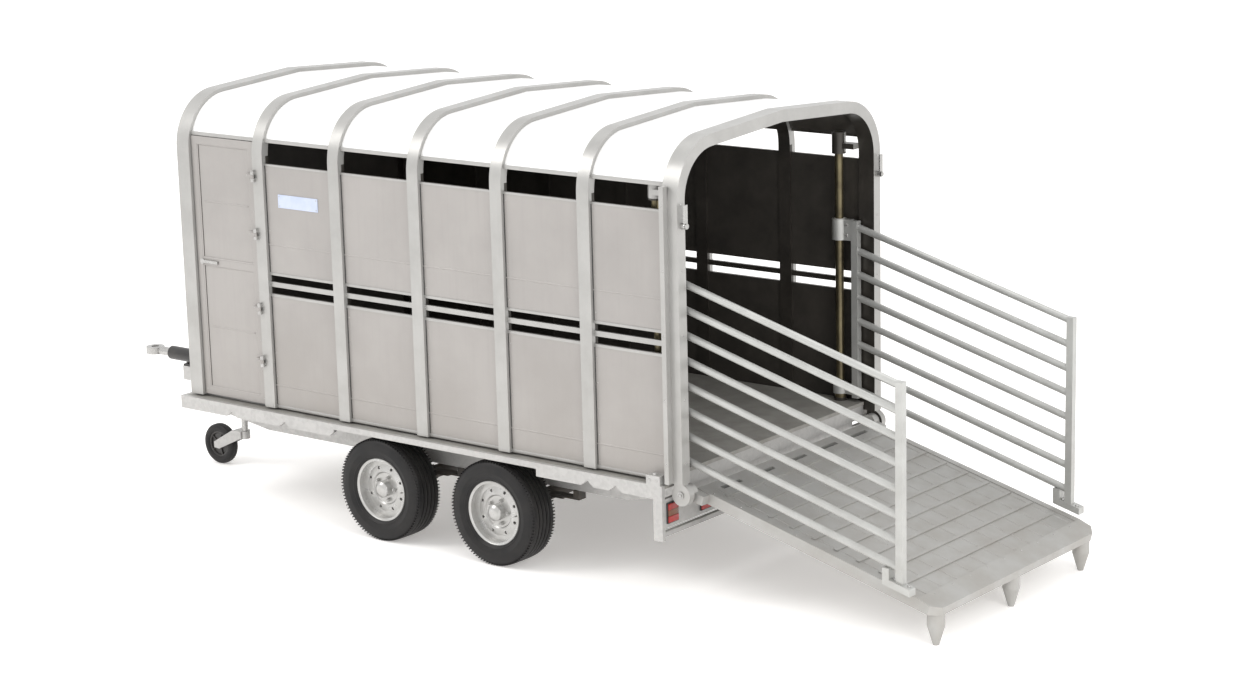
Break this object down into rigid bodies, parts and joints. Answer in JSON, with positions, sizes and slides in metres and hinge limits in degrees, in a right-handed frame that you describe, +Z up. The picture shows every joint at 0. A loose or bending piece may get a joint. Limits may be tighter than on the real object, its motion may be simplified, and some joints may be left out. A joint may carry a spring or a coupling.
{
  "type": "livestock trailer",
  "caption": "Twin-axle flatbed trailer with a demountable livestock box, hooped roof, side vents, side door, drop ramp and barred ramp gates",
  "frame": {"origin": "middle of the trailer's length and width, on the ground", "axes": "+X to the rear, towards the ramp; +Y to the offside; +Z up"},
  "size_m": [6.5212, 1.972, 2.488],
  "materials": {
    "hoop_metal": "satin galvanised tube",
    "roof_white": "smooth moulded sheet",
    "panel_grey": "mill-finish sheet",
    "floor_board": "phenolic-faced board",
    "chassis_galvanised": "galvanised",
    "gate_rod_steel": "plated round bar",
    "running_gear_dark": "dark painted",
    "plated_steel": "zinc plated",
    "black_paint": "gloss black",
    "lens_red": "moulded lens",
    "tyre_rubber": "plain-tread tyre",
    "rim_silver": "silver painted",
    "ramp_metal": "tread plate",
    "gate_metal": "satin tube",
    "bush_nylon": "nylon"
  },
  "bodies": {
    "trailer": {"hoop_1": "hoop_metal", "hoop_2": "hoop_metal", "hoop_3": "hoop_metal", "hoop_4": "hoop_metal", "hoop_5": "hoop_metal", "hoop_6": "hoop_metal", "rear_hoop": "hoop_metal", "rear_posts": "hoop_metal", "roof_sheets": "roof_white", "upper_panels": "panel_grey", "lower_panels": "panel_grey", "slat_rails": "hoop_metal", "front_wall": "panel_grey", "box_floor": "floor_board", "box_sills": "chassis_galvanised", "gate_rod_near": "gate_rod_steel", "gate_rod_far": "gate_rod_steel", "rod_brackets": "running_gear_dark", "door_hinge_lugs": "plated_steel", "door_hinge_pins": "plated_steel", "box_clamps": "chassis_galvanised", "platform_deck": "floor_board", "platform_rails": "chassis_galvanised", "chassis_frame": "chassis_galvanised", "drawbar_frame": "chassis_galvanised", "overrun_housing": "black_paint", "axle_front": "running_gear_dark", "axle_rear": "running_gear_dark", "leaf_springs": "running_gear_dark", "spring_hangers": "running_gear_dark", "lamp_board": "chassis_galvanised", "lamp_lenses": "lens_red", "ramp_hinge_pins": "plated_steel", "jockey_tube": "chassis_galvanised"},
    "ramp": {"ramp_frame": "ramp_metal", "ramp_deck": "ramp_metal", "ramp_lip": "ramp_metal", "ramp_feet": "ramp_metal"},
    "gate_slide_near": {"gate_bushes_near": "bush_nylon"},
    "gate_slide_far": {"gate_bushes_far": "bush_nylon"},
    "gate_near": {"gate_near": "gate_metal"},
    "gate_far": {"gate_far": "gate_metal"},
    "side_door": {"side_door": "panel_grey"},
    "door_latch": {"door_latch": "plated_steel"},
    "wheel_front_near": {"tyre_front_near": "tyre_rubber", "rim_front_near": "rim_silver"},
    "wheel_front_far": {"tyre_front_far": "tyre_rubber", "rim_front_far": "rim_silver"},
    "wheel_rear_near": {"tyre_rear_near": "tyre_rubber", "rim_rear_near": "rim_silver"},
    "wheel_rear_far": {"tyre_rear_far": "tyre_rubber", "rim_rear_far": "rim_silver"},
    "draw_tube": {"towing_eye": "plated_steel"},
    "brake_lever": {"brake_lever": "black_paint"},
    "jockey_stem": {"jockey_stem": "plated_steel"},
    "jockey_fork": {"jockey_fork": "chassis_galvanised"},
    "jockey_wheel": {"jockey_wheel": "tyre_rubber"},
    "jockey_crank": {"jockey_crank": "plated_steel"},
    "ramp_catch_near": {"ramp_catch_near": "plated_steel"},
    "ramp_catch_far": {"ramp_catch_far": "plated_steel"}
  },
  "joints": [
    {"name": "ramp_hinge", "type": "hinge", "parent": "trailer", "child": "ramp", "pos_m": [1.77936, 0, 0.592], "axis": [0, -1, 0], "range_deg": [0, 104.8]},
    {"name": "gate_lift_near", "type": "slide", "parent": "trailer", "child": "gate_slide_near", "axis": [0, 0, 1], "range_m": [0, 0.28]},
    {"name": "gate_lift_far", "type": "slide", "parent": "trailer", "child": "gate_slide_far", "axis": [0, 0, 1], "range_m": [0, 0.28]},
    {"name": "gate_swing_near", "type": "hinge", "parent": "gate_slide_near", "child": "gate_near", "pos_m": [1.58936, -0.842, 1.2], "axis": [0, 0, -1], "range_deg": [-10, 2]},
    {"name": "gate_swing_far", "type": "hinge", "parent": "gate_slide_far", "child": "gate_far", "pos_m": [1.58936, 0.842, 1.2], "axis": [0, 0, 1], "range_deg": [-10, 2]},
    {"name": "side_door_hinge", "type": "hinge", "parent": "trailer", "child": "side_door", "pos_m": [-1.23064, -0.954, 1.4685], "axis": [0, 0, 1], "range_deg": [0, 170]},
    {"name": "door_latch_turn", "type": "hinge", "parent": "side_door", "child": "door_latch", "pos_m": [-1.71064, -0.92, 1.465], "axis": [0, 1, 0], "range_deg": [0, 90]},
    {"name": "wheel_spin_front_near", "type": "hinge", "parent": "trailer", "child": "wheel_front_near", "pos_m": [-0.32264, -0.886, 0.298], "axis": [0, 1, 0], "continuous": true},
    {"name": "wheel_spin_front_far", "type": "hinge", "parent": "trailer", "child": "wheel_front_far", "pos_m": [-0.32264, 0.886, 0.298], "axis": [0, 1, 0], "continuous": true},
    {"name": "wheel_spin_rear_near", "type": "hinge", "parent": "trailer", "child": "wheel_rear_near", "pos_m": [0.51736, -0.886, 0.298], "axis": [0, 1, 0], "continuous": true},
    {"name": "wheel_spin_rear_far", "type": "hinge", "parent": "trailer", "child": "wheel_rear_far", "pos_m": [0.51736, 0.886, 0.298], "axis": [0, 1, 0], "continuous": true},
    {"name": "overrun_slide", "type": "slide", "parent": "trailer", "child": "draw_tube", "axis": [1, 0, 0], "range_m": [0, 0.08]},
    {"name": "brake_lever_hinge", "type": "hinge", "parent": "trailer", "child": "brake_lever", "pos_m": [-2.74564, 0.056, 0.622], "axis": [0, -1, 0], "range_deg": [0, 75]},
    {"name": "jockey_screw", "type": "slide", "parent": "trailer", "child": "jockey_stem", "axis": [0, 0, 1], "range_m": [0, 0.15]},
    {"name": "jockey_swivel", "type": "hinge", "parent": "jockey_stem", "child": "jockey_fork", "pos_m": [-2.09264, -0.3, 0.22], "axis": [0, 0, 1], "continuous": true},
    {"name": "jockey_wheel_spin", "type": "hinge", "parent": "jockey_fork", "child": "jockey_wheel", "pos_m": [-2.31264, -0.3, 0.127], "axis": [0, 1, 0], "continuous": true},
    {"name": "jockey_crank_turn", "type": "hinge", "parent": "trailer", "child": "jockey_crank", "pos_m": [-2.09264, -0.3, 0.9], "axis": [0, 0, 1], "continuous": true},
    {"name": "ramp_catch_near_turn", "type": "hinge", "parent": "trailer", "child": "ramp_catch_near", "pos_m": [1.80936, -0.905, 2.012], "axis": [-1, 0, 0], "range_deg": [0, 90]},
    {"name": "ramp_catch_far_turn", "type": "hinge", "parent": "trailer", "child": "ramp_catch_far", "pos_m": [1.80936, 0.905, 2.012], "axis": [1, 0, 0], "range_deg": [0, 90]}
  ]
}
